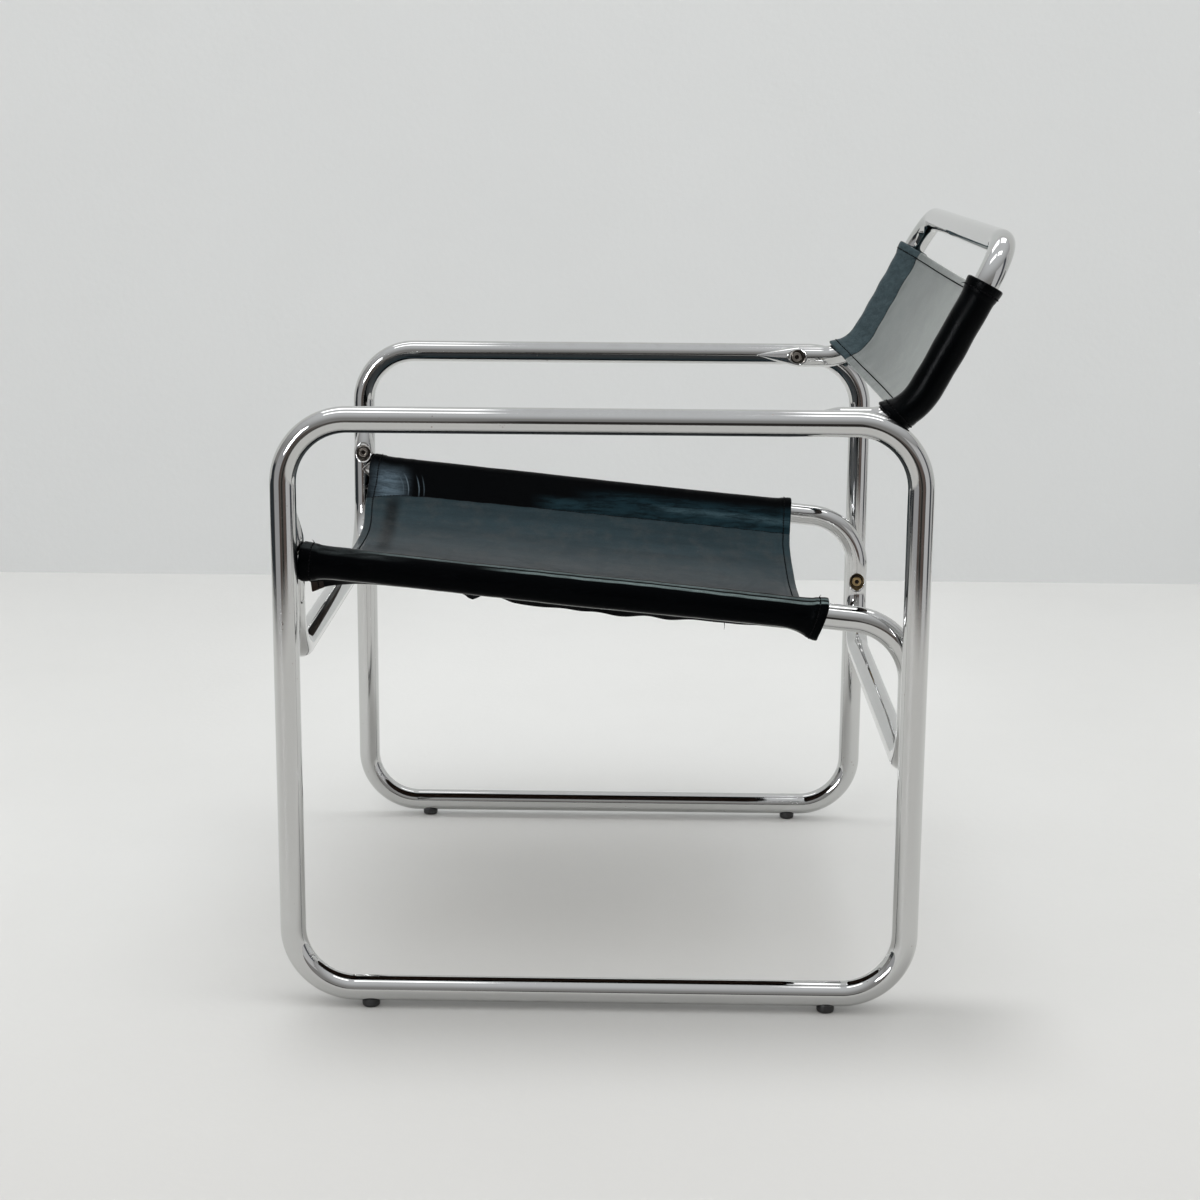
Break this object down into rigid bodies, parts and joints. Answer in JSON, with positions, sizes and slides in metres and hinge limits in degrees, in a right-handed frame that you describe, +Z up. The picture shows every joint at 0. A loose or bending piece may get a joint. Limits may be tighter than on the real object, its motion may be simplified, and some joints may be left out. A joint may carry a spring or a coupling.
{
  "type": "tubular steel lounge chair with leather slings",
  "caption": "Low lounge chair: closed side frames of chromed bent tube carry a hanging leather seat sling and a leaning leather back sling.",
  "frame": {"origin": "on the floor, under the middle of the chair's footprint", "axes": "+Z up, -Y towards the front of the seat, +X towards the sitter's left"},
  "size_m": [0.6442, 0.7009, 0.7609],
  "materials": {
    "chrome": "polished chrome plating with light pits and scratches",
    "leather": "smooth worn saddle leather, near black with a slate sheen",
    "screw_steel": "worn plated steel, dull grey brown",
    "bush_brass": "turned brass",
    "glide_plastic": "matte black plastic"
  },
  "bodies": {
    "root": {"left_side_frame": "chrome", "right_side_frame": "chrome", "seat_front_hoop": "chrome", "seat_rail_tube": "chrome", "back_frame": "chrome", "seat_sling": "leather", "back_sling": "leather", "left_front_screw": "screw_steel", "left_front_bush": "bush_brass", "left_rear_screw": "screw_steel", "left_rear_bush": "bush_brass", "left_arm_screw": "screw_steel", "left_arm_bush": "bush_brass", "right_front_screw": "screw_steel", "right_front_bush": "bush_brass", "right_rear_screw": "screw_steel", "right_rear_bush": "bush_brass", "right_arm_screw": "screw_steel", "right_arm_bush": "bush_brass", "left_front_glide": "glide_plastic", "left_rear_glide": "glide_plastic", "right_front_glide": "glide_plastic", "right_rear_glide": "glide_plastic"}
  },
  "joints": []
}
